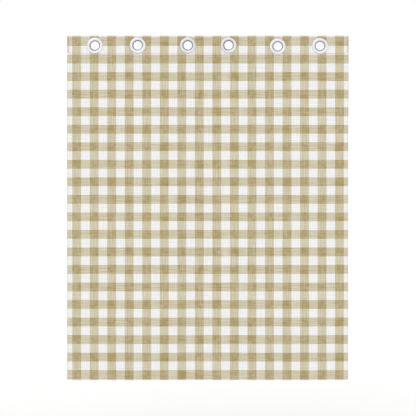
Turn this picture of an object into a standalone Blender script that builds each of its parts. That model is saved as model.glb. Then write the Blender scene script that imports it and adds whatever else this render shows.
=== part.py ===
# Gingham curtain: one flat panel of cloth, a doubled heading and six two-part eyelets.
# Metres, +Z up. The origin is the middle of the top edge. The cloth hangs towards -Z
# and its face looks along -Y.

import math

import bmesh
import bpy
from mathutils import Matrix

CURTAIN_NAME = "gingham_curtain"

# Driving sizes of the cloth
CURTAIN_WIDTH = 1.307
CURTAIN_DROP = 1.600
CLOTH = 0.0012
HEM = 0.009
HEADING_DEPTH = 0.082
HEADING_THICKNESS = 0.0026
LAP = 0.012
GAP = 0.0003

# Driving sizes of an eyelet, radii from its axis and heights from its cloth
BORE_RADIUS = 0.0195
BARREL_WALL = 0.0016
FLANGE_RADIUS = 0.0375
FLANGE_EDGE = 0.0006
FLANGE_RISE = 0.0045
CROWN_RADIUS = 0.0310
THROAT_DEPTH = 0.0026
BACK_RADIUS = 0.0360
BACK_RISE = 0.0030
BACK_ROUND = 0.0018
RING_STEPS = 32
FRONT_ARC_STEPS = 4
BACK_ARC_STEPS = 2
FOLD_STEPS = 8

# Each eyelet's centre: metres from the curtain's middle, metres below its top edge
EYELETS = (
    {"across": -0.5235, "below": 0.0460},
    {"across": -0.3246, "below": 0.0451},
    {"across": -0.0918, "below": 0.0451},
    {"across": 0.0978, "below": 0.0446},
    {"across": 0.3260, "below": 0.0497},
    {"across": 0.5226, "below": 0.0479},
)

# The soft waves of the hanging cloth: length across, depth at the foot, start in turns,
# and how far each one drifts sideways on its way down, in turns
WAVES = (
    {"length": 0.62, "depth": 0.0030, "start": 0.10, "drift": 0.18},
    {"length": 0.33, "depth": 0.0017, "start": 0.55, "drift": -0.22},
    {"length": 0.21, "depth": 0.0008, "start": 0.30, "drift": 0.12},
)
FLAT_TOP = 0.020
FULL_WAVES_BELOW = 0.70
COLUMN_PITCH = 0.044
ROW_PITCH = 0.052

CLOTH_COLOUR = (0.62, 0.55, 0.38, 1.0)
METAL_COLOUR = (0.80, 0.80, 0.83, 1.0)

FRONT_FACE = -HEADING_THICKNESS / 2
BACK_FACE = HEADING_THICKNESS / 2
PANEL_TOP = -HEADING_DEPTH - GAP
PANEL_BOTTOM = -CURTAIN_DROP
LAP_BOTTOM = -HEADING_DEPTH - LAP
HALF_WIDTH = CURTAIN_WIDTH / 2


def clear_scene():
    for obj in list(bpy.data.objects):
        bpy.data.objects.remove(obj, do_unlink=True)


def new_collection(name, shown):
    collection = bpy.data.collections.new(name)
    bpy.context.scene.collection.children.link(collection)
    collection.hide_render = not shown
    return collection


def new_material(name, colour, roughness, metallic):
    material = bpy.data.materials.new(name)
    material.use_nodes = True
    shader = material.node_tree.nodes["Principled BSDF"]
    shader.inputs["Base Color"].default_value = colour
    shader.inputs["Roughness"].default_value = roughness
    shader.inputs["Metallic"].default_value = metallic
    material.diffuse_color = colour
    return material


def new_object(name, mesh, collection, material=None):
    obj = bpy.data.objects.new(name, mesh)
    collection.objects.link(obj)
    if material:
        mesh.materials.append(material)
    return obj


def smooth_step(value):
    held = min(1.0, max(0.0, value))
    return held * held * (3 - 2 * held)


def hang(x, z):
    """How far the cloth lies behind its flat plane, at x across and z up."""
    below = PANEL_TOP - z
    growth = smooth_step((below - FLAT_TOP) / FULL_WAVES_BELOW)
    depth = 0.0
    for wave in WAVES:
        turns = x / wave["length"] + wave["start"] + wave["drift"] * below / CURTAIN_DROP
        depth += wave["depth"] * math.sin(2 * math.pi * turns)
    return growth * depth


def stations(start, end, pitch):
    """Evenly spaced places from start to end, no further apart than the pitch."""
    count = math.ceil(abs(end - start) / pitch)
    return [start + (end - start) * i / count for i in range(count + 1)]


def panel_mesh():
    inner = HALF_WIDTH - HEM
    hem_top = LAP_BOTTOM - GAP
    columns = [-HALF_WIDTH] + stations(-inner, inner, COLUMN_PITCH) + [HALF_WIDTH]
    rows = [PANEL_BOTTOM] + stations(PANEL_BOTTOM + HEM, hem_top, ROW_PITCH) + [PANEL_TOP]

    bm = bmesh.new()
    bmesh.ops.create_grid(bm, x_segments=len(columns) - 1, y_segments=len(rows) - 1, size=0.5)
    for vert in bm.verts:
        x = columns[round((vert.co.x + 0.5) * (len(columns) - 1))]
        z = rows[round((vert.co.y + 0.5) * (len(rows) - 1))]
        vert.co = (x, FRONT_FACE + hang(x, z), z)

    # The sheet gets its thickness towards the back, then a second layer along the hems
    thick = bmesh.ops.extrude_face_region(bm, geom=bm.faces[:], use_keep_orig=True)
    move_back(bm, thick["geom"], CLOTH)
    back_faces = [item for item in thick["geom"] if isinstance(item, bmesh.types.BMFace)]
    hem_faces = [face for face in back_faces if in_hem(face.calc_center_median(), inner, hem_top)]
    hem = bmesh.ops.extrude_face_region(bm, geom=hem_faces)
    move_back(bm, hem["geom"], CLOTH)
    bmesh.ops.delete(bm, geom=hem_faces, context="FACES")
    return finished_mesh(bm, "panel")


def in_hem(place, inner, hem_top):
    beside = abs(place.x) > inner and place.z < hem_top
    return beside or place.z < PANEL_BOTTOM + HEM


def move_back(bm, geometry, distance):
    moved = [item for item in geometry if isinstance(item, bmesh.types.BMVert)]
    bmesh.ops.translate(bm, verts=moved, vec=(0, distance, 0))


def finished_mesh(bm, name):
    bmesh.ops.recalc_face_normals(bm, faces=bm.faces[:])
    mesh = bpy.data.meshes.new(name)
    bm.to_mesh(mesh)
    bm.free()
    return mesh


def heading_outline():
    """The heading's section, as (back, up): a round fold on top, the lap's tail at the back."""
    fold = HEADING_THICKNESS / 2
    lap_front = FRONT_FACE + CLOTH + GAP
    round_top = [
        (-fold * math.cos(turn), -fold + fold * math.sin(turn))
        for turn in (math.pi * i / FOLD_STEPS for i in range(FOLD_STEPS + 1))
    ]
    tail = [
        (BACK_FACE, LAP_BOTTOM),
        (lap_front, LAP_BOTTOM),
        (lap_front, -HEADING_DEPTH),
        (FRONT_FACE, -HEADING_DEPTH),
    ]
    return round_top + tail


def heading_object(collection, cutters, material):
    curve = bpy.data.curves.new("heading_section", "CURVE")
    curve.dimensions = "2D"
    curve.fill_mode = "BOTH"
    curve.extrude = HALF_WIDTH
    outline = heading_outline()
    spline = curve.splines.new("POLY")
    spline.points.add(len(outline) - 1)
    for point, (back, up) in zip(spline.points, outline):
        point.co = (back, up, 0, 1)
    spline.use_cyclic_u = True

    # The section's own x and y become the curtain's y and z, and it runs along x
    section = bpy.data.objects.new("heading_section", curve)
    collection.objects.link(section)
    section.matrix_world = Matrix(((0, 0, 1, 0), (1, 0, 0, 0), (0, 1, 0, 0), (0, 0, 0, 1)))
    bpy.context.view_layer.update()
    evaluated = section.evaluated_get(bpy.context.evaluated_depsgraph_get())
    mesh = bpy.data.meshes.new_from_object(evaluated)
    mesh.transform(section.matrix_world)
    bpy.data.objects.remove(section, do_unlink=True)

    bm = bmesh.new()
    bm.from_mesh(mesh)
    bmesh.ops.remove_doubles(bm, verts=bm.verts[:], dist=0.00001)
    bpy.data.meshes.remove(mesh)
    heading = new_object("heading", finished_mesh(bm, "heading"), collection, material)
    for number, eyelet in enumerate(EYELETS, 1):
        cut = heading.modifiers.new(f"hole_{number}", "BOOLEAN")
        cut.operation = "DIFFERENCE"
        cut.solver = "EXACT"
        cut.object = hole_cutter(number, eyelet, cutters)
    return heading


def hole_cutter(number, eyelet, cutters):
    radius = BORE_RADIUS + BARREL_WALL + GAP
    bm = bmesh.new()
    bmesh.ops.create_cone(
        bm,
        cap_ends=True,
        segments=RING_STEPS,
        radius1=radius,
        radius2=radius,
        depth=8 * HEADING_THICKNESS,
        matrix=Matrix.Rotation(math.pi / 2, 4, "X"),
    )
    cutter = new_object(f"cutter_{number}", finished_mesh(bm, "cutter"), cutters)
    cutter.location = (eyelet["across"], 0, -eyelet["below"])
    cutter.hide_render = True
    cutter.display_type = "WIRE"
    return cutter


def arc(centre, across, up, start, end, steps):
    """Points of an elliptical arc about its centre, from one angle to another in degrees."""
    turns = [math.radians(start + (end - start) * i / steps) for i in range(steps + 1)]
    return [(centre[0] + across * math.cos(a), centre[1] + up * math.sin(a)) for a in turns]


def front_profile():
    """Radius and height of the front half: rim, seat, barrel, bore, then over the crown."""
    seat = HEADING_THICKNESS / 2 + GAP
    crown = seat + FLANGE_RISE
    barrel = BORE_RADIUS + BARREL_WALL
    barrel_end = -seat - BACK_RISE
    throat = seat - THROAT_DEPTH
    rim = seat + FLANGE_EDGE
    corners = [
        (FLANGE_RADIUS, rim),
        (FLANGE_RADIUS, seat),
        (barrel, seat),
        (barrel, barrel_end),
        (BORE_RADIUS, barrel_end),
    ]
    inward = CROWN_RADIUS - BORE_RADIUS
    outward = FLANGE_RADIUS - CROWN_RADIUS
    inside = arc((CROWN_RADIUS, throat), inward, crown - throat, 180, 90, FRONT_ARC_STEPS)
    outside = arc((CROWN_RADIUS, rim), outward, crown - rim, 90, 0, FRONT_ARC_STEPS)
    return corners + inside + outside[1:-1]


def back_profile():
    """Radius and height of the back half, a low ring with a rounded back."""
    seat = -HEADING_THICKNESS / 2 - GAP
    back = seat - BACK_RISE
    inner = BORE_RADIUS + BARREL_WALL + GAP
    turn = back + BACK_ROUND
    inner_width = BACK_ROUND / 2
    outer_round = arc((BACK_RADIUS - BACK_ROUND, turn), BACK_ROUND, BACK_ROUND, 0, -90, BACK_ARC_STEPS)
    inner_round = arc((inner + inner_width, turn), inner_width, BACK_ROUND, -90, -180, BACK_ARC_STEPS)
    return [(BACK_RADIUS, seat)] + outer_round + inner_round + [(inner, seat)]


def turned_object(name, profile, collection, material):
    """A closed profile turned about its own Z, then laid so that its top looks along -Y."""
    bm = bmesh.new()
    verts = [bm.verts.new((radius, 0, height)) for radius, height in profile]
    for here, after in zip(verts, verts[1:] + verts[:1]):
        bm.edges.new((here, after))
    mesh = bpy.data.meshes.new(name)
    bm.to_mesh(mesh)
    bm.free()
    ring = new_object(name, mesh, collection, material)
    turn = ring.modifiers.new("turn", "SCREW")
    turn.axis = "Z"
    turn.angle = 2 * math.pi
    turn.steps = RING_STEPS
    turn.render_steps = RING_STEPS
    turn.use_merge_vertices = True
    turn.merge_threshold = 0.00001
    turn.use_smooth_shade = True
    ring.rotation_euler = (math.pi / 2, 0, 0)
    return ring


def add_eyelet(number, eyelet, collection, material):
    place = (eyelet["across"], 0, -eyelet["below"])
    front = turned_object(f"eyelet_{number}_front", front_profile(), collection, material)
    back = turned_object(f"eyelet_{number}_back", back_profile(), collection, material)
    front.location = place
    back.location = place


def main():
    clear_scene()
    curtain = new_collection(CURTAIN_NAME, shown=True)
    cutters = new_collection("cutters", shown=False)
    panel_cloth = new_material("panel_cloth", CLOTH_COLOUR, roughness=0.9, metallic=0.0)
    heading_cloth = new_material("heading_cloth", CLOTH_COLOUR, roughness=0.9, metallic=0.0)
    metal = new_material("satin_nickel", METAL_COLOUR, roughness=0.3, metallic=1.0)

    new_object("panel", panel_mesh(), curtain, panel_cloth)
    heading_object(curtain, cutters, heading_cloth)
    for number, eyelet in enumerate(EYELETS, 1):
        add_eyelet(number, eyelet, curtain, metal)


main()
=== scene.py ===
import math

import bmesh
import bpy
from mathutils import Matrix, Vector, noise


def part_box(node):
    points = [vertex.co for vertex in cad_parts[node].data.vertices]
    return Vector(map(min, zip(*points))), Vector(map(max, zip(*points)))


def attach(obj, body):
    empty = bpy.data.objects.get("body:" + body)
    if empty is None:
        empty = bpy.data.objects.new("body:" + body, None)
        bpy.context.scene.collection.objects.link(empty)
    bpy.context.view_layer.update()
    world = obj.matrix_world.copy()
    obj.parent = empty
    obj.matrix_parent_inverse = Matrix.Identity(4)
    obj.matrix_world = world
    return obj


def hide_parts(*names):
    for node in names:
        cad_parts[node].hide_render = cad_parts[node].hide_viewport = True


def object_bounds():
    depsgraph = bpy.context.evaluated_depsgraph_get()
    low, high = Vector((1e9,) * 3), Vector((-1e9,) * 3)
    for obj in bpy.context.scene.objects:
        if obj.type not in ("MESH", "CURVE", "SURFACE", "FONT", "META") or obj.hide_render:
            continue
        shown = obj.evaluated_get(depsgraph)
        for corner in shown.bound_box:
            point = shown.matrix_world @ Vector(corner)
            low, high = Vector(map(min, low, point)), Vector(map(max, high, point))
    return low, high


# Gingham curtain. Metres, +Z up: the origin is the middle of the top edge,
# the cloth hangs towards -Z and its face looks along -Y.

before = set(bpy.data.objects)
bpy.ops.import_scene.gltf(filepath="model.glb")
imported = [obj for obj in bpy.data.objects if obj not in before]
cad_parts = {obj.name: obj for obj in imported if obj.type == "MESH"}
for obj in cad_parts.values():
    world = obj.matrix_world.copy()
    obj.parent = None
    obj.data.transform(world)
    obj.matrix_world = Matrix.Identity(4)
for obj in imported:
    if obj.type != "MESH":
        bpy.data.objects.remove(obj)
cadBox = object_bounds()
print("frame:", len(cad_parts), "nodes")


def nodeBox(node):
    # a node's middle and its full sizes, to a tenth of a millimetre
    low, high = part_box(node)
    middle = [round((a + b) / 2, 4) for a, b in zip(low, high)]
    full = [round(b - a, 4) for a, b in zip(low, high)]
    return middle, full


seamGap = 0.0003  # between solids that are sewn or pressed together
headingFull = nodeBox("heading")[1]

curtain = {
    "width": headingFull[0],
    "drop": round(-cadBox[0][2], 4),
    "headingDepth": round(-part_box("panel")[1][2] - seamGap, 4),
    "headingThickness": headingFull[1],
    "flatTop": 0.020,  # the cloth hangs flat this far below the seam
    "fullWavesBelow": 0.70,
    "leftIn": 0.0008,  # the left edge stands in this much all the way down
    "rightOut": 0.0021,  # and the right one stands out at the top
    "rightIn": 0.0004,  # and in lower down
    "flareFrom": 0.113,  # the right edge comes in between these depths
    "flareTo": 0.620,
    "edgeReach": 0.045,  # how far in from an edge its unevenness is felt
    "edgeEase": 0.030,
}

# The soft waves of the hanging cloth, in metres and turns
waves = (
    {"length": 0.62, "depth": 0.0030, "start": 0.10, "drift": 0.18},
    {"length": 0.33, "depth": 0.0017, "start": 0.55, "drift": -0.22},
    {"length": 0.21, "depth": 0.0008, "start": 0.30, "drift": 0.12},
)

cloth = {
    "thickness": 0.0005,
    "layer": 0.0006,  # from the middle of one layer to the middle of the next
    "pitch": 0.0075,  # grid spacing on the open cloth
    "stitchInset": 0.0025,  # stitching's distance from an edge
    "dent": 0.00016,  # how deep a row of stitches pulls the cloth in
    "dentReach": 0.0012,
    "dentPlaces": (-1.6, -0.8, 0, 0.8, 1.6),  # grid lines across a dent, in reaches
    "dentClear": 0.002,  # no other grid line comes this near
    "pucker": 0.00022,  # small waves beside the hems
    "puckerReach": 0.014,
    "puckerLength": 0.024,
    "puckerFrom": 0.06,  # they grow to full size this far below the seam
}

# Each eyelet's centre: metres from the middle and below the top edge
eyeletCount = 6
eyelets = []
for number in range(1, eyeletCount + 1):
    middle = nodeBox(f"eyelet_{number}_front")[0]
    eyelets.append({"across": middle[0], "below": -middle[2]})

# Half the thickness, and where the middle of the cloth runs inside the curtain's outer sizes
skin = cloth["thickness"] / 2
halfWidth = curtain["width"] / 2 - skin
foot = skin - curtain["drop"]
frontMiddle = skin - curtain["headingThickness"] / 2
backMiddle = -frontMiddle
panelTop = -curtain["headingDepth"] - seamGap


# Shader wiring

class Wire:
    # a node's output that works in plain sums
    def __init__(self, finish, outputs, index=0):
        self.finish = finish
        self.outputs = outputs
        self.socket = outputs[index] if len(outputs) else None

    def output(self, index):
        return Wire(self.finish, self.outputs, index)

    def sum(self, operation, *values):
        return self.finish.node("Math", {"operation": operation}, dict(enumerate(values)))

    def __add__(self, other):
        return self.sum("ADD", self, other)

    def __radd__(self, other):
        return self.sum("ADD", other, self)

    def __sub__(self, other):
        return self.sum("SUBTRACT", self, other)

    def __rsub__(self, other):
        return self.sum("SUBTRACT", other, self)

    def __mul__(self, other):
        return self.sum("MULTIPLY", self, other)

    def __rmul__(self, other):
        return self.sum("MULTIPLY", other, self)

    def __truediv__(self, other):
        return self.sum("DIVIDE", self, other)

    def __abs__(self):
        return self.sum("ABSOLUTE", self)

    def fraction(self):
        return self.sum("FRACT", self)

    def sine(self):
        return self.sum("SINE", self)

    def held(self):
        return self.finish.node("Clamp", {}, {0: self})


class Finish:
    # one material, its nodes made by node()
    def __init__(self, name):
        self.material = bpy.data.materials.new(name)
        self.material.use_nodes = True
        self.tree = self.material.node_tree
        self.tree.nodes.clear()

    def node(self, kind, settings, sockets, output=0):
        made = self.tree.nodes.new("ShaderNode" + kind)
        for name, value in settings.items():
            if name == "stops":
                self.setStops(made.color_ramp, value)
            else:
                setattr(made, name, value)
        for name, value in sockets.items():
            socket = made.inputs[name]
            if isinstance(value, Wire):
                self.tree.links.new(value.socket, socket)
            elif socket.type == "RGBA":
                socket.default_value = (*value, 1)
            else:
                socket.default_value = value
        return Wire(self, made.outputs, output)

    def setStops(self, ramp, stops):
        while len(ramp.elements) < len(stops):
            ramp.elements.new(1)
        for element, (place, shade) in zip(ramp.elements, stops):
            element.position = place
            element.color = (*shade, 1)

    def blend(self, factor, first, second, how="MIX"):
        settings = {"data_type": "RGBA", "blend_type": how, "clamp_factor": False}
        return self.node("Mix", settings, {0: factor, 6: first, 7: second}, 2)

    def join(self, x, y):
        return self.node("CombineXYZ", {}, {0: x, 1: y})

    def noise(self, vector, scale, detail=1.0, dimensions="2D"):
        settings = {"noise_dimensions": dimensions}
        return self.node("TexNoise", settings, {"Vector": vector, "Scale": scale, "Detail": detail})

    def close(self, shader):
        self.node("OutputMaterial", {}, {"Surface": shader})
        return self.material


# Gingham, in the cloth's own flat metres

gingham = {
    "check": 0.08144,  # one dyed stripe and one white one
    "stripe": 0.0409,
    "firstAcross": -0.6287,  # where the first full dyed stripe starts
    "firstDown": 0.0070,
    "softEdge": 0.0007,
    "repeat": 10,  # checks after which the mottling comes again
    "white": (0.843, 0.847, 0.849),
    "dye": (0.724, 0.659, 0.486),  # what one layer of dyed yarn lets through
    "deep": (0.895, 0.865, 0.76),  # dark blotches where both dyed stripes cross
    "pale": (1.068, 1.065, 1.185),
    "warm": (1.016, 0.993, 1.002),
    "cool": (0.984, 1.006, 0.990),
    "yarnPitch": 0.0070,  # spacing of the heavier yarns
    "yarnRun": 0.110,
    "yarnShade": 0.19,
    "yarnDye": 0.43,
    "batch": 0.38,  # how unevenly whole stripes take the dye
    "blueShade": 0.27,
    "blueScale": 95.0,
    "blotch": 0.021,
    "blotchShade": 3.0,
    "blotchDetail": 2.5,
    "cellScale": 0.9,  # one patch to about a check
    "cellShade": 1.35,
    "tintScale": 62.0,
    "tintShade": 3.0,
    "weave": 0.0012,
    "weaveDepth": 0.00012,
    "weaveShade": 0.055,
    "weaveRise": 0.5,
    "slub": 2.5,  # how much prouder the heavier yarns stand
    "roughness": 0.86,
    "yarnRoughness": 0.5,
}


def stripeMask(place, first):
    share = gingham["stripe"] / gingham["check"]
    turn = ((place - first) / gingham["check"] + (0.5 - share / 2)).fraction()
    soft = gingham["softEdge"] / gingham["check"]
    return ((share / 2 - abs(turn - 0.5)) / soft + 0.5).held()


def heavyYarns(finish, across, along, seed):
    # long streaks that are brighter or darker than their neighbours, even on the whole
    side = across / gingham["yarnPitch"]
    run = along / gingham["yarnRun"] + seed
    streak = finish.noise(finish.join(side, run), 1.0, 2.0)
    return streak - finish.noise(finish.join(side + 0.5, run), 1.0, 2.0)


def ginghamFinish():
    finish = Finish("gingham")
    flat = finish.node("UVMap", {"uv_map": "cloth"}, {})
    parts = finish.node("SeparateXYZ", {}, {0: flat})
    across = parts.output(0)
    down = parts.output(1)
    dyedDown = stripeMask(across, gingham["firstAcross"])
    dyedAcross = stripeMask(down, gingham["firstDown"])
    crossed = dyedDown * dyedAcross

    # The mottling repeats, so its noises read the place within one repeat,
    # and the plain numbers added to a place only keep one noise apart from the next
    repeat = gingham["check"] * gingham["repeat"]
    tileX = ((across - gingham["firstAcross"]) / repeat).fraction() * repeat
    tileY = ((down - gingham["firstDown"]) / repeat).fraction() * repeat
    tile = finish.join(tileX, tileY)
    yarnsDown = heavyYarns(finish, tileX, tileY, 0)
    yarnsAcross = heavyYarns(finish, tileY, tileX, 7)
    yarns = (yarnsDown + yarnsAcross) * gingham["yarnShade"]

    # One layer of dyed yarn, then the other over it, each taking its dye unevenly
    check = 1 / gingham["check"]
    batchDown = (finish.noise(finish.join(tileX + 13, tileY), check, 0.0) - 0.5) * gingham["batch"]
    batchAcross = (finish.noise(finish.join(tileX, tileY + 17), check, 0.0) - 0.5) * gingham["batch"]
    depthDown = dyedDown * (1 - yarnsDown * gingham["yarnDye"] + batchDown)
    depthAcross = dyedAcross * (1 - yarnsAcross * gingham["yarnDye"] + batchAcross)
    downColour = finish.blend(depthDown, (1, 1, 1), gingham["dye"])
    acrossColour = finish.blend(depthAcross, (1, 1, 1), gingham["dye"])
    colour = finish.blend(1.0, downColour, acrossColour, "MULTIPLY")

    # Deeper and paler blotches where the dyed stripes cross
    blotch = finish.noise(tile, 1 / gingham["blotch"], gingham["blotchDetail"]) - 0.5
    cell = finish.noise(tile, gingham["cellScale"] / gingham["check"], 0.0) - 0.5
    mottle = (blotch * gingham["blotchShade"] + cell * gingham["cellShade"] + 0.5).held()
    tone = finish.blend(mottle, gingham["pale"], gingham["deep"])
    colour = finish.blend(crossed, colour, finish.blend(1.0, colour, tone, "MULTIPLY"))

    # Plain weave, with painted shade in the dark spots between the yarns and painted light on the raised
    # ones
    turn = 2 * math.pi / gingham["weave"]
    weave = (across * turn).sine() * (down * turn).sine()
    yarns = yarns + weave * gingham["weaveShade"]

    # Uneven yarns, with the weave's painted shade, over everything, a little warmer or cooler
    tint = ((finish.noise(tile, gingham["tintScale"]) - 0.5) * gingham["tintShade"] + 0.5).held()
    colour = finish.blend(1.0, colour, finish.blend(tint, gingham["warm"], gingham["cool"]), "MULTIPLY")
    blueNoise = finish.noise(finish.join(tileX + 3, tileY + 9), gingham["blueScale"])
    blue = (blueNoise - 0.5) * gingham["blueShade"]
    light = finish.node("CombineColor", {}, {0: 1 + yarns, 1: 1 + yarns, 2: 1 + yarns + blue})
    colour = finish.blend(1.0, colour, light, "MULTIPLY")
    colour = finish.blend(1.0, colour, gingham["white"], "MULTIPLY")

    # Fine relief of the weave and the heavier yarns
    relief = weave * gingham["weaveRise"] + (yarnsDown + yarnsAcross) * gingham["slub"]
    bump = finish.node("Bump", {}, {"Strength": 0.6, "Distance": gingham["weaveDepth"], "Height": relief})
    shader = finish.node("BsdfPrincipled", {}, {
        "Base Color": colour,
        "Roughness": gingham["roughness"] + yarns * gingham["yarnRoughness"],
        "Sheen Weight": 0.08,
        "Sheen Roughness": 0.5,
        "Specular IOR Level": 0.25,
        "Normal": bump,
    })
    return finish.close(shader)


# The hang of the cloth

def smoothStep(value):
    held = min(1.0, max(0.0, value))
    return held * held * (3 - 2 * held)


def hangAt(x, z):
    # how far the cloth lies behind its flat plane
    below = panelTop - z
    growth = smoothStep((below - curtain["flatTop"]) / curtain["fullWavesBelow"])
    depth = 0.0
    for wave in waves:
        turns = x / wave["length"] + wave["start"] + wave["drift"] * below / curtain["drop"]
        depth += wave["depth"] * math.sin(2 * math.pi * turns)
    return growth * depth


def edgeShift(x, z):
    # how far the uneven side edges move the cloth to the right
    near = smoothStep((abs(x) - halfWidth + curtain["edgeReach"]) / curtain["edgeEase"])
    if x < 0:
        return curtain["leftIn"] * near
    lower = smoothStep((-z - curtain["flareFrom"]) / (curtain["flareTo"] - curtain["flareFrom"]))
    shift = curtain["rightOut"] - (curtain["rightOut"] + curtain["rightIn"]) * lower
    return shift * near


def puckerAt(x, z):
    # small waves beside the side hems and the foot hem, none near the heading
    edge = min(halfWidth - abs(x), z - foot)
    near = math.exp(-max(0.0, edge) / cloth["puckerReach"])
    place = Vector((x, z, 0.0)) / cloth["puckerLength"]
    grown = smoothStep((panelTop - z) / cloth["puckerFrom"])
    return cloth["pucker"] * near * grown * noise.noise(place)


def dentAt(distance):
    return cloth["dent"] * math.exp(-((distance / cloth["dentReach"]) ** 2))


def spread(start, end, pitch, seams=()):
    # even places from start to end, with closer ones at each seam
    count = max(1, round(abs(end - start) / pitch))
    close = [seam + side * cloth["dentReach"] for seam in seams for side in cloth["dentPlaces"]]
    even = [start + (end - start) * i / count for i in range(1, count)]
    kept = [place for place in even if all(abs(place - other) > cloth["dentClear"] for other in close)]
    return sorted([start, end] + kept + close, reverse=start > end)


def hemPath(width, tuck, depth):
    # round a hem: how far in from the edge, how far back, and how much cloth it has used
    turn = depth / 2
    foldSteps = 6
    tuckSteps = 4
    path = []
    for step in range(foldSteps + 1):
        angle = math.pi * step / foldSteps
        path.append((turn * (1 - math.sin(angle)), turn * (1 - math.cos(angle)), turn * angle))
    used = turn * math.pi
    small = cloth["layer"] / 2
    reach = width - small
    for share in (0.35, 0.7, 1.0):
        path.append((turn + (reach - turn) * share, depth, used + (reach - turn) * share))
    if tuck:
        used += reach - turn
        for step in range(1, tuckSteps + 1):
            angle = math.pi * step / tuckSteps
            inward = reach + small * math.sin(angle)
            path.append((inward, depth - small * (1 - math.cos(angle)), used + small * angle))
        used += small * math.pi
        for share in (0.5, 1.0):
            path.append((reach - tuck * share, depth - cloth["layer"], used + tuck * share))
    return path


# Thin cloth from rows and columns

# The baking map: two halves for the cloth's faces, and narrow strips for its cut edges
bakeMap = {
    "start": 0.01,
    "span": 0.95,
    "half": 0.49,
    "edgeStrip": 0.980,
    "edgeWidth": 0.010,
}


def clothMesh(name, columns, rows, place, stacked):
    bm = bmesh.new()
    bmesh.ops.create_grid(bm, x_segments=len(columns) - 1, y_segments=len(rows) - 1, size=0.5)
    across = bm.verts.layers.float.new("across")
    down = bm.verts.layers.float.new("down")
    behind = bm.verts.layers.int.new("behind")
    outward = bm.verts.layers.float_vector.new("outward")
    bm.loops.layers.uv.new("cloth")
    bm.loops.layers.uv.new("OFBake")
    cutAway = []
    for vert in bm.verts:
        column = columns[round((vert.co.x + 0.5) * (len(columns) - 1))]
        row = rows[round((0.5 - vert.co.y) * (len(rows) - 1))]
        vert[across] = column["flat"]
        vert[down] = row["flat"]
        spot = place(column, row)
        if spot is None:
            cutAway.append(vert)
        else:
            shift = edgeShift(column["at"], spot[2])
            vert[across] += shift
            vert.co = (spot[0] + shift, spot[1], spot[2])
    bmesh.ops.delete(bm, geom=cutAway, context="VERTS")

    # The sheet becomes two faces of one thin cloth
    bm.normal_update()
    for vert in bm.verts:
        vert[outward] = vert.normal
    copied = bmesh.ops.extrude_face_region(bm, geom=bm.faces[:], use_keep_orig=True)
    for item in copied["geom"]:
        if isinstance(item, bmesh.types.BMVert):
            item[behind] = 1
    for vert in bm.verts:
        vert.co += vert[outward] * cloth["thickness"] * (-0.5 if vert[behind] else 0.5)
    layFlat(bm, across, down, behind, stacked)
    for layer in (across, down):
        bm.verts.layers.float.remove(layer)
    bm.verts.layers.int.remove(behind)
    bm.verts.layers.float_vector.remove(outward)
    bmesh.ops.recalc_face_normals(bm, faces=bm.faces[:])
    return finishedMesh(bm, name, sharpAbove=50)


def layFlat(bm, across, down, behind, stacked):
    # writes the cloth's flat metres, and a map with its two faces and its cut edges apart
    plain = bm.loops.layers.uv["cloth"]
    baked = bm.loops.layers.uv["OFBake"]
    lowX = min(vert[across] for vert in bm.verts)
    spanX = max(vert[across] for vert in bm.verts) - lowX
    lowY = min(vert[down] for vert in bm.verts)
    spanY = max(vert[down] for vert in bm.verts) - lowY
    for face in bm.faces:
        rim = len({vert[behind] for vert in face.verts}) == 2
        level = len({round(vert[down], 6) for vert in face.verts}) == 1
        for loop in face.loops:
            vert = loop.vert
            loop[plain].uv = (vert[across], vert[down])
            u = bakeMap["start"] + bakeMap["span"] * (vert[across] - lowX) / spanX
            v = bakeMap["start"] + bakeMap["span"] * (vert[down] - lowY) / spanY
            strip = bakeMap["edgeStrip"] + bakeMap["edgeWidth"] * vert[behind]
            if rim and level:
                v = strip
            elif rim:
                u = strip
            elif stacked:
                v = v * bakeMap["half"] + bakeMap["half"] * vert[behind]
            else:
                u = u * bakeMap["half"] + bakeMap["half"] * vert[behind]
            loop[baked].uv = (u, v)


def finishedMesh(bm, name, sharpAbove):
    mesh = bpy.data.meshes.new(name)
    bm.to_mesh(mesh)
    bm.free()
    mesh.shade_smooth()
    mesh.set_sharp_from_angle(angle=math.radians(sharpAbove))
    return mesh


def newPiece(name, mesh, material):
    piece = bpy.data.objects.new(name, mesh)
    bpy.context.scene.collection.objects.link(piece)
    mesh.materials.clear()
    mesh.materials.append(material)
    return piece


def sideColumns(path, pitch, seams):
    # places across a piece of cloth whose side hems go round the path
    start = halfWidth - path[0][0]
    main = [
        {"flat": x, "at": x, "back": 0.0, "turned": False}
        for x in spread(-start, start, pitch, seams)
    ]
    hem = [
        {"flat": start + used, "at": halfWidth - inward, "back": back, "turned": True}
        for inward, back, used in path[1:]
    ]
    left = [{**column, "flat": -column["flat"], "at": -column["at"]} for column in reversed(hem)]
    return left + main + hem


# Panel: one width of cloth, its side hems and foot hem turned twice to the back

panel = {
    "hem": 0.009,
    "tuck": 0.0060,  # raw edge inside a hem
    "insert": 0.008,  # how far the top edge runs up inside the heading
    "insertPitch": 0.0025,
    "insertStep": 0.0018,  # over this height the cloth steps back behind the heading's face
    "stepStart": 0.0008,
    "cornerCut": 0.0015,  # the insert stops this far inside the side hems
    "sideEase": 0.005,  # the foot hem thickens over this width beside a side hem
    "sideClear": 0.006,
    "footFold": 0.0026,  # the lowest grid line above the foot hem's fold
}


def nearSide(x, clear=0.0):
    # 1 over the side hems, 0 away from them
    start = halfWidth - panel["hem"] - clear - panel["sideClear"]
    return smoothStep((abs(x) - start) / panel["sideEase"])


def footDepth(x):
    return cloth["layer"] * (2 + 2 * nearSide(x))


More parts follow.
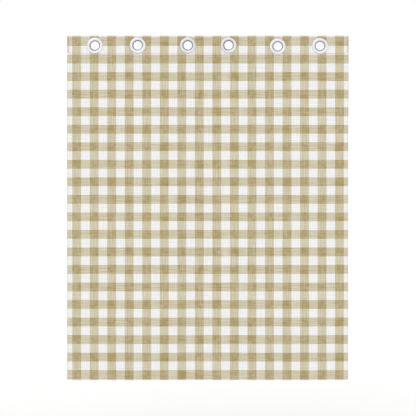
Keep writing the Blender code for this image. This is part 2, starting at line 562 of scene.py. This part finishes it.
def panelPlace(column, row):
    x = column["at"]
    back = column["back"]
    if row["step"] is None:
        z = row["at"]
        hemmed = abs(x) > halfWidth - panel["hem"] - panel["cornerCut"]
        if z > panelTop + seamGap / 2 and hemmed:
            return None
        step = smoothStep((z + curtain["headingDepth"] + panel["insertStep"]) / panel["insertStep"])
        back += cloth["layer"] * step * (1 - nearSide(x))
    else:
        if column["turned"] and row["step"] > 0:
            return None
        inward, deep = hemPath(panel["hem"], panel["tuck"], footDepth(x))[row["step"]][:2]
        z = inward + foot
        back += deep
    seamSide = halfWidth - abs(x) - cloth["stitchInset"]
    seamFoot = z - foot - cloth["stitchInset"]
    pulled = max(dentAt(seamSide), dentAt(seamFoot))
    inFront = back < cloth["layer"] / 2
    y = frontMiddle + back + hangAt(x, z) + puckerAt(x, z) + (pulled if inFront else 0)
    return (x, y, z)


def makePanel(material):
    path = hemPath(panel["hem"], panel["tuck"], 2 * cloth["layer"])
    sideSeams = (cloth["stitchInset"] - halfWidth, halfWidth - cloth["stitchInset"])
    columns = sideColumns(path, cloth["pitch"], sideSeams)
    top = -curtain["headingDepth"]
    insert = spread(top + panel["insert"], top + seamGap, panel["insertPitch"])
    step = [top - seamGap, top - panel["stepStart"], top - panel["insertStep"]]
    low = foot + panel["footFold"]
    hung = spread(step[-1], low, cloth["pitch"], (foot + cloth["stitchInset"],))[1:]
    hung = [z for z in hung if z >= low]
    rows = [{"flat": -z, "at": z, "step": None} for z in insert + step + hung]
    start = -foot - path[0][0]
    rows += [{"flat": start + used, "step": i} for i, (inward, back, used) in enumerate(path)]
    mesh = clothMesh("panelCloth", columns, rows, panelPlace, stacked=False)
    piece = newPiece("panelCloth", mesh, material)
    flatWidth = curtain["width"] + 2 * path[-1][2]
    flatDrop = curtain["drop"] - curtain["headingDepth"] + panel["insert"] + path[-1][2]
    print("panel:", len(mesh.polygons), "faces, flat", round(flatWidth, 4), "x", round(flatDrop, 4))
    return piece, (flatWidth, flatDrop)


# Heading: the strip turned over at the top, with holes for the eyelets

heading = {
    "lap": round(headingFull[2] - curtain["headingDepth"], 4),
    "hem": 0.009,
    "pitch": 0.0075,
    "lean": 0.0006,  # how far the lap's free edge leans towards the panel
    "hemLean": 0.00025,  # and away from it over the side hems
    "hemClear": 0.002,
    "leanFrom": 0.080,  # below the top edge
    "seamInset": 0.0009,  # the seam's stitching above the heading's lower edge
    "holeRadius": 0.0214,
    "holeSides": 96,
    "cutterDepth": 0.02,
    "crownSteps": 8,
}


def lapLean(x, z):
    # the turned-over layer leans on the panel below the seam, and clears its hems
    start = heading["leanFrom"]
    low = smoothStep((-start - z) / (curtain["headingDepth"] + heading["lap"] - start))
    side = nearSide(x, heading["hemClear"])
    return low * (side * heading["hemLean"] - (1 - side) * heading["lean"])


def headingPlace(column, row):
    x = column["at"]
    z = row["z"]
    dip = column["back"]
    if row["flatPart"] and not column["turned"]:
        topSeam = dentAt(z + cloth["stitchInset"])
        lowSeam = dentAt(z + curtain["headingDepth"] - heading["seamInset"])
        dip += max(topSeam, lowSeam)
    y = row["y"] - row["outY"] * dip
    if row["outY"] > 0:
        y += lapLean(x, z)
    return (x, y, z - row["outZ"] * dip)


def headingRows():
    radius = backMiddle
    crown = curtain["headingThickness"] / 2  # depth at which the round top begins
    seams = (-cloth["stitchInset"], heading["seamInset"] - curtain["headingDepth"])
    lapEnd = -curtain["headingDepth"] - heading["lap"]
    rows = []
    for z in spread(lapEnd, -crown, heading["pitch"], seams):
        flat = z + 2 * crown - radius * math.pi
        rows.append({"flat": flat, "y": backMiddle, "z": z, "outY": 1, "outZ": 0, "flatPart": True})
    for step in range(1, heading["crownSteps"]):
        angle = math.pi * step / heading["crownSteps"]
        y = radius * math.cos(angle)
        z = radius * math.sin(angle) - crown
        rows.append({
            "flat": crown - radius * (math.pi - angle),
            "y": y,
            "z": z,
            "outY": math.cos(angle),
            "outZ": math.sin(angle),
            "flatPart": False,
        })
    for z in spread(-crown, -curtain["headingDepth"], heading["pitch"], seams):
        rows.append({"flat": -z, "y": frontMiddle, "z": z, "outY": -1, "outZ": 0, "flatPart": True})
    return rows


def cutHoles(piece):
    bm = bmesh.new()
    radius = heading["holeRadius"]
    turn = Matrix.Rotation(math.pi / 2, 4, "X")
    for place in eyelets:
        bmesh.ops.create_cone(
            bm,
            cap_ends=True,
            segments=heading["holeSides"],
            radius1=radius,
            radius2=radius,
            depth=heading["cutterDepth"],
            matrix=Matrix.Translation((place["across"], 0, -place["below"])) @ turn,
        )
    cutterMesh = bpy.data.meshes.new("holeCutter")
    bm.to_mesh(cutterMesh)
    bm.free()
    cutter = bpy.data.objects.new("holeCutter", cutterMesh)
    bpy.context.scene.collection.objects.link(cutter)
    cut = piece.modifiers.new("holes", "BOOLEAN")
    cut.operation = "DIFFERENCE"
    cut.solver = "EXACT"
    cut.object = cutter
    bpy.context.view_layer.update()
    evaluated = piece.evaluated_get(bpy.context.evaluated_depsgraph_get())
    mesh = bpy.data.meshes.new_from_object(evaluated)
    piece.modifiers.clear()
    piece.data = mesh
    bpy.data.objects.remove(cutter, do_unlink=True)


def makeHeading(material):
    path = hemPath(heading["hem"], 0, cloth["layer"])
    columns = sideColumns(path, heading["pitch"], ())
    rows = headingRows()
    mesh = clothMesh("headingCloth", columns, rows, headingPlace, stacked=True)
    piece = newPiece("headingCloth", mesh, material)
    cutHoles(piece)
    flatWidth = curtain["width"] + 2 * path[-1][2]
    flatDepth = rows[-1]["flat"] - rows[0]["flat"]
    faces = len(piece.data.polygons)
    print("heading:", faces, "faces, flat", round(flatWidth, 4), "x", round(flatDepth, 4))
    return piece, (flatWidth, flatDepth)


# Eyelets: a domed front half with its barrel, and a flat ring behind

eyelet = {
    "bore": 0.0195,
    "wall": 0.0016,
    "flange": nodeBox("eyelet_1_front")[1][0] / 2,
    "flangeEdge": 0.0006,
    "flangeRound": 0.0004,
    "rise": 0.0045,
    "crown": 0.0310,
    "throat": 0.0026,
    "backRadius": nodeBox("eyelet_1_back")[1][0] / 2,
    "backRise": nodeBox("eyelet_1_back")[1][1],
    "backRound": 0.0018,
    "clothGap": 0.00005,
    "steps": 96,
    # The ring's colours by radius are painted light: the nickel's own pale colour as a painted highlight
    # band, bluish painted shade beside it, a painted dark reflection and shade in the throat, and painted
    # rim shade at the flange's edge
    "nickelWithPaintedHighlight": (0.85, 0.855, 0.88),
    "paintedBluishShade": (0.735, 0.74, 0.775),
    "paintedThroatShade": (0.30, 0.30, 0.315),
    # painted rim shade along the flange's outer edge
    "rim": (0.79, 0.80, 0.835),
    # tones from the bore outwards, each from its share of the flange's radius: painted dark reflection
    # and shade in the throat, painted bluish shade, a painted highlight band, then painted rim shade
    "zones": (
        (0.00, "paintedThroatShade"), (0.62, "paintedThroatShade"), (0.69, "paintedBluishShade"), (0.775, "nickelWithPaintedHighlight"),
        (0.86, "nickelWithPaintedHighlight"), (0.93, "paintedBluishShade"), (0.985, "rim"),
    ),
    "zoneScale": 34.0,
    "zoneWander": 0.0060,
    "smudgeScale": 160.0,
    "smudgeShade": 0.10,
    "smudgeRoughness": 0.2,
    "middleDim": 0.14,  # the middle two are darker
    "middleReach": 0.28,
    "roughness": 0.24,
}


def arc(centre, across, up, start, end, steps):
    angles = [math.radians(start + (end - start) * i / steps) for i in range(steps + 1)]
    return [(centre[0] + across * math.cos(a), centre[1] + up * math.sin(a)) for a in angles]


def frontProfile():
    # radius and height of the front half: rim, seat, barrel, bore, then over the crown
    face = curtain["headingThickness"] / 2
    seat = face + eyelet["clothGap"]
    stated = face + seamGap
    crown = stated + eyelet["rise"]
    rim = stated + eyelet["flangeEdge"]
    throat = stated - eyelet["throat"]
    barrel = eyelet["bore"] + eyelet["wall"]
    barrelEnd = -stated - eyelet["backRise"]
    lip = eyelet["wall"] / 2
    edge = eyelet["flangeRound"]
    under = arc((eyelet["flange"] - edge, seat + edge), edge, edge, 0, -90, 3)
    barrelLip = arc((barrel - lip, barrelEnd + lip), lip, lip, 0, -180, 8)
    inward = eyelet["crown"] - eyelet["bore"]
    outward = eyelet["flange"] - eyelet["crown"]
    inside = arc((eyelet["crown"], throat), inward, crown - throat, 180, 90, 14)
    outside = arc((eyelet["crown"], rim), outward, crown - rim, 90, 0, 12)
    return under + [(barrel, seat)] + barrelLip + inside + outside[1:]


def backProfile():
    face = curtain["headingThickness"] / 2
    seat = -face - eyelet["clothGap"]
    back = -face - seamGap - eyelet["backRise"]
    inner = eyelet["bore"] + eyelet["wall"] + seamGap
    bend = eyelet["backRound"]
    outer = arc((eyelet["backRadius"] - bend, back + bend), bend, bend, 0, -90, 8)
    inside = arc((inner + bend / 2, back + bend), bend / 2, bend, -90, -180, 6)
    return [(eyelet["backRadius"], seat)] + outer + inside + [(inner, seat)]


def turnedMesh(name, profile, place):
    bm = bmesh.new()
    radius = bm.verts.layers.float.new("radius")
    along = bm.verts.layers.float.new("along")
    baked = bm.loops.layers.uv.new("OFBake")
    centre = Vector((place["across"], 0, -place["below"]))
    verts = []
    for index, (out, up) in enumerate(profile):
        vert = bm.verts.new(centre + Vector((out, -up, 0)))
        vert[radius] = out
        vert[along] = index / len(profile)
        verts.append(vert)
    edges = [bm.edges.new(pair) for pair in zip(verts, verts[1:] + verts[:1])]
    bmesh.ops.spin(
        bm,
        geom=verts + edges,
        cent=centre,
        axis=(0, 1, 0),
        angle=2 * math.pi,
        steps=eyelet["steps"],
        use_merge=True,
    )

    # The baking map is once round by the profile's length, and the last faces end at its start
    for face in bm.faces:
        middle = face.calc_center_median() - centre
        faceTurn = math.atan2(middle.z, middle.x) / (2 * math.pi)
        late = max(vert[along] for vert in face.verts) > 0.75
        for loop in face.loops:
            spot = loop.vert.co - centre
            turn = math.atan2(spot.z, spot.x) / (2 * math.pi)
            turn -= round(turn - faceTurn)
            v = loop.vert[along]
            if late and v < 0.25:
                v = 1.0
            loop[baked].uv = (0.5 + turn, v)
    bm.verts.layers.float.remove(along)
    bmesh.ops.recalc_face_normals(bm, faces=bm.faces[:])
    return finishedMesh(bm, name, sharpAbove=40)


def metalFinish():
    finish = Finish("satinNickel")
    radius = finish.node("Attribute", {"attribute_name": "radius"}, {}, 2)
    place = finish.node("TexCoord", {}, {}, 3)
    uneven = finish.noise(place, eyelet["zoneScale"], 1.5, "3D") - 0.5
    share = (radius + uneven * eyelet["zoneWander"]) / eyelet["flange"]
    # the zones paint reflections, a highlight and shade onto the ring by radius
    stops = [(start, eyelet[tone]) for start, tone in eyelet["zones"]]
    zones = finish.node("ValToRGB", {"stops": stops}, {0: share})
    smudge = finish.noise(place, eyelet["smudgeScale"], 2.0, "3D")
    across = finish.node("SeparateXYZ", {}, {0: place})
    middleDarker = (1 - abs(across) / eyelet["middleReach"]).held() * eyelet["middleDim"]
    brushed = 1 + (smudge - 0.5) * eyelet["smudgeShade"] - middleDarker
    worn = finish.node("CombineColor", {}, {0: brushed, 1: brushed, 2: brushed})
    colour = finish.blend(1.0, zones, worn, "MULTIPLY")
    bump = finish.node("Bump", {}, {"Strength": 0.25, "Distance": 0.0002, "Height": smudge})
    shader = finish.node("BsdfPrincipled", {}, {
        "Base Color": colour,
        "Metallic": 1.0,
        "Roughness": eyelet["roughness"] + (smudge - 0.5) * eyelet["smudgeRoughness"],
        "Normal": bump,
    })
    return finish.close(shader)


def makeEyelets(material):
    pieces = []
    for number, place in enumerate(eyelets, 1):
        for half, profile in (("front", frontProfile()), ("back", backProfile())):
            name = f"eyelet{half.capitalize()}{number}"
            piece = newPiece(name, turnedMesh(name, profile, place), material)
            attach(piece, "root")
            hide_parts(f"eyelet_{number}_{half}")
            pieces.append(piece)
    print("eyelets:", len(pieces), "halves")
    return pieces


# Topstitching: rows of short stitches, on the face and on the back

stitch = {
    "pitch": 0.0031,
    "share": 0.88,  # how much of the pitch a stitch fills
    "proud": 0.00028,
    "sunk": 0.9,  # how far into a dent its row lies
    "ballSides": 6,  # each stitch is a drawn-out, flattened ball
    "ballRings": 5,
    "width": 0.00100,
    "seamWidth": 0.00113,
    "hemWidth": 0.00125,  # the side rows and the lowest one along the foot
    "second": 0.0034,  # a second row this far from the first
    "belowSeam": 0.0025,
    "hemTop": 0.002,  # the side hems' rows start this far below the seam
    "clear": 0.001,  # none comes this near an eyelet
    "zigzagWidth": 0.00038,
    "zigzagPitch": 0.0020,  # there and back
    "zigzagReach": 0.0102,
    "zigzagInset": 0.0048,
    "zigzagTop": 0.0015,
    "colour": (0.62, 0.20, 0.20),
    "twistAcross": 2,  # turns of the thread round and along each stitch
    "twistAlong": 5,
    "twistShade": 0.06,
    "twistDepth": 0.00008,
    "roughness": 0.55,
}


def stitchRow(start, end, face, out, width, sunk=0.0, clear=0.0, lean=0.0, phase=0.5):
    # face gives the surface's depth at x and z, out is -1 on the face and 1 on the back,
    # a sunk row lies in a dent of the cloth, and one that leans is half of a zigzag
    run = Vector((end[0] - start[0], 0, end[1] - start[1]))
    count = int(run.length / (stitch["zigzagPitch"] if lean else stitch["pitch"]))
    step = run / count
    up = Vector((0, out, 0))
    if lean:
        reach = step / 2 + up.cross(step.normalized()) * lean
    else:
        reach = step * stitch["share"]
    along = reach.normalized()
    turn = Matrix((up.cross(along), up, along)).transposed().to_4x4()
    size = Matrix.Diagonal((width / 2, stitch["proud"], reach.length / 2, 1))
    first = Matrix.Translation(Vector((start[0], 0, start[1])) + step * phase)
    bm = bmesh.new()
    bm.loops.layers.uv.new("OFBake")
    bmesh.ops.create_uvsphere(
        bm,
        u_segments=stitch["ballSides"],
        v_segments=stitch["ballRings"],
        radius=1,
        matrix=first @ turn @ size,
        calc_uvs=True,
    )
    perStitch = len(bm.verts)
    single = bpy.data.meshes.new("stitch")
    bm.to_mesh(single)
    bm.free()
    row = bpy.data.objects.new("stitchRow", single)
    bpy.context.scene.collection.objects.link(row)
    array = row.modifiers.new("row", "ARRAY")
    array.count = count
    array.use_relative_offset = False
    array.use_constant_offset = True
    array.constant_offset_displace = step
    bpy.context.view_layer.update()
    mesh = bpy.data.meshes.new_from_object(row.evaluated_get(bpy.context.evaluated_depsgraph_get()))
    bpy.data.objects.remove(row, do_unlink=True)

    # Each stitch lies on the hanging cloth, and none under an eyelet
    bm = bmesh.new()
    bm.from_mesh(mesh)
    verts = bm.verts[:]
    hidden = []
    for index in range(count):
        middle = Vector((start[0], 0, start[1])) + step * (index + phase)
        if any(math.hypot(middle.x - e["across"], middle.z + e["below"]) < clear for e in eyelets):
            hidden += verts[index * perStitch:(index + 1) * perStitch]
    for vert in verts:
        vert.co.y += face(vert.co.x, vert.co.z) - out * sunk
        vert.co.x += edgeShift(vert.co.x, vert.co.z)
    bmesh.ops.delete(bm, geom=hidden, context="VERTS")
    bm.to_mesh(mesh)
    bm.free()
    return mesh


def stitchPiece(name, lines, material):
    bm = bmesh.new()
    bm.loops.layers.uv.new("OFBake")
    for line in lines:
        bm.from_mesh(stitchRow(**line))
    mesh = finishedMesh(bm, name, sharpAbove=180)
    piece = newPiece(name, mesh, material)
    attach(piece, "root")
    return piece


def threadFinish():
    finish = Finish("topstitchThread")
    flat = finish.node("UVMap", {"uv_map": "OFBake"}, {})
    parts = finish.node("SeparateXYZ", {}, {0: flat})
    turns = parts.output(0) * stitch["twistAcross"] + parts.output(1) * stitch["twistAlong"]
    twist = (turns * (2 * math.pi)).sine()
    # painted shade and painted highlight along the thread's twist, following its bumped relief
    shade = 1 + twist * stitch["twistShade"]
    light = finish.node("CombineColor", {}, {0: shade, 1: shade, 2: shade})
    colour = finish.blend(1.0, stitch["colour"], light, "MULTIPLY")
    bump = finish.node("Bump", {}, {"Strength": 0.5, "Distance": stitch["twistDepth"], "Height": twist})
    shader = finish.node("BsdfPrincipled", {}, {
        "Base Color": colour,
        "Roughness": stitch["roughness"],
        "Normal": bump,
    })
    return finish.close(shader)


def makeStitches(material):
    inset = cloth["stitchInset"]
    side = halfWidth - inset
    top = -inset
    seam = heading["seamInset"] - curtain["headingDepth"]
    sunk = cloth["dent"] * stitch["sunk"]  # only the rows that the cloth is dented along

    def headingFront(x, z):
        return frontMiddle - skin

    def headingBack(x, z):
        return backMiddle + skin + lapLean(x, z)

    def panelFront(x, z):
        return frontMiddle - skin + hangAt(x, z) + puckerAt(x, z)

    def hemBack(x, z):
        return frontMiddle + 2 * cloth["layer"] + skin + hangAt(x, z) + puckerAt(x, z)

    def footBack(x, z):
        return frontMiddle + footDepth(x) + skin + hangAt(x, z) + puckerAt(x, z)

    def rows(faceSide, lowFace, out, clear):
        reach = stitch["zigzagReach"]
        near = halfWidth - reach
        lines = []
        for z, wide, hold, depth in (
            (top, stitch["width"], faceSide, sunk),
            (top - stitch["second"], stitch["width"], faceSide, 0.0),
            (seam, stitch["seamWidth"], faceSide, sunk),
            (panelTop - stitch["belowSeam"], stitch["seamWidth"], lowFace, 0.0),
        ):
            span = {"start": (-near, z), "end": (near, z)}
            lines.append({**span, "width": wide, "face": hold, "sunk": depth, "clear": clear})

        # A zigzag is two rows that lean opposite ways, half a step apart
        edge = halfWidth - stitch["zigzagInset"]
        for x in (-edge, edge):
            span = {"start": (x, -stitch["zigzagTop"]), "end": (x, seam)}
            for lean, phase in ((reach, 0.25), (-reach, 0.75)):
                zigzag = {"width": stitch["zigzagWidth"], "lean": lean, "phase": phase}
                lines.append({**span, "face": faceSide, **zigzag})
        return [{**line, "out": out} for line in lines]

    def hems(hemFace, footFace, out, dented):
        low = foot + inset
        high = panelTop - stitch["hemTop"]
        beside = {"face": hemFace, "width": stitch["hemWidth"], "sunk": dented}
        lines = [{"start": (x, high), "end": (x, low), **beside} for x in (-side, side)]
        for z, wide, depth in (
            (low, stitch["hemWidth"], dented),
            (low + stitch["second"], stitch["width"], 0.0),
        ):
            span = {"start": (-side, z), "end": (side, z)}
            lines.append({**span, "width": wide, "face": footFace, "sunk": depth})
        return [{**line, "out": out} for line in lines]

    clearFront = eyelet["flange"] + stitch["clear"]
    clearBack = eyelet["backRadius"] + stitch["clear"]
    sewn = {
        "headingStitchesFront": rows(headingFront, panelFront, -1, clearFront),
        "headingStitchesBack": rows(headingBack, headingBack, 1, clearBack),
        "hemStitchesFront": hems(panelFront, panelFront, -1, sunk),
        "hemStitchesBack": hems(hemBack, footBack, 1, 0.0),
    }
    pieces = [stitchPiece(name, lines, material) for name, lines in sewn.items()]
    print("stitches:", sum(len(piece.data.polygons) for piece in pieces), "faces")
    return pieces


# Camera, floor and soft light

studio = {
    "frameWidth": 1.9332,  # how much of the curtain's plane the picture spans
    "lens": 135.0,
    "sensor": 36.0,
    "lookAt": (0.0021, -0.8007),
    "floorBelow": 0.30,
    "floorSize": 60.0,
    "floorColour": (0.95, 0.95, 0.95),
    "floorGlow": 0.03,
    "world": 1.0,
    "keyStrength": 0.06,
    "keyAngle": 50.0,
    "keyFrom": (-0.45, -1.0, 0.75),
}


def makeStudio():
    scene = bpy.context.scene
    scene.view_settings.view_transform = "Standard"
    cameraData = bpy.data.cameras.new("camera")
    cameraData.lens = studio["lens"]
    cameraData.sensor_width = studio["sensor"]
    distance = studio["frameWidth"] * studio["lens"] / studio["sensor"]
    camera = bpy.data.objects.new("camera", cameraData)
    camera.location = (studio["lookAt"][0], -distance, studio["lookAt"][1])
    camera.rotation_euler = (math.pi / 2, 0, 0)
    scene.collection.objects.link(camera)
    scene.camera = camera

    world = bpy.data.worlds.new("world")
    world.use_nodes = True
    background = world.node_tree.nodes["Background"]
    background.inputs["Color"].default_value = (1, 1, 1, 1)
    background.inputs["Strength"].default_value = studio["world"]
    scene.world = world

    keyData = bpy.data.lights.new("key", "SUN")
    keyData.energy = studio["keyStrength"] * math.pi
    keyData.angle = math.radians(studio["keyAngle"])
    key = bpy.data.objects.new("key", keyData)
    key.rotation_euler = Vector(studio["keyFrom"]).to_track_quat("Z", "Y").to_euler()
    scene.collection.objects.link(key)

    floorFinish = Finish("floor")
    shader = floorFinish.node("BsdfPrincipled", {}, {
        "Base Color": studio["floorColour"],
        "Roughness": 0.9,
        "Emission Color": (1, 1, 1),
        "Emission Strength": studio["floorGlow"],
    })
    bm = bmesh.new()
    level = Matrix.Translation((0, 0, -curtain["drop"] - studio["floorBelow"]))
    bmesh.ops.create_grid(bm, x_segments=1, y_segments=1, size=studio["floorSize"] / 2, matrix=level)
    mesh = bpy.data.meshes.new("floor")
    bm.to_mesh(mesh)
    bm.free()
    floor = newPiece("floor", mesh, floorFinish.close(shader))
    print("studio: camera", round(distance, 3), "m in front of the cloth")


makeStudio()
clothFinish = ginghamFinish()
panelCloth, panelFlat = makePanel(clothFinish)
headingCloth, headingFlat = makeHeading(clothFinish)
rings = makeEyelets(metalFinish())
stitches = makeStitches(threadFinish())

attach(panelCloth, "root")
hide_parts("panel")
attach(headingCloth, "root")
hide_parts("heading")
stitches[:2] + rings
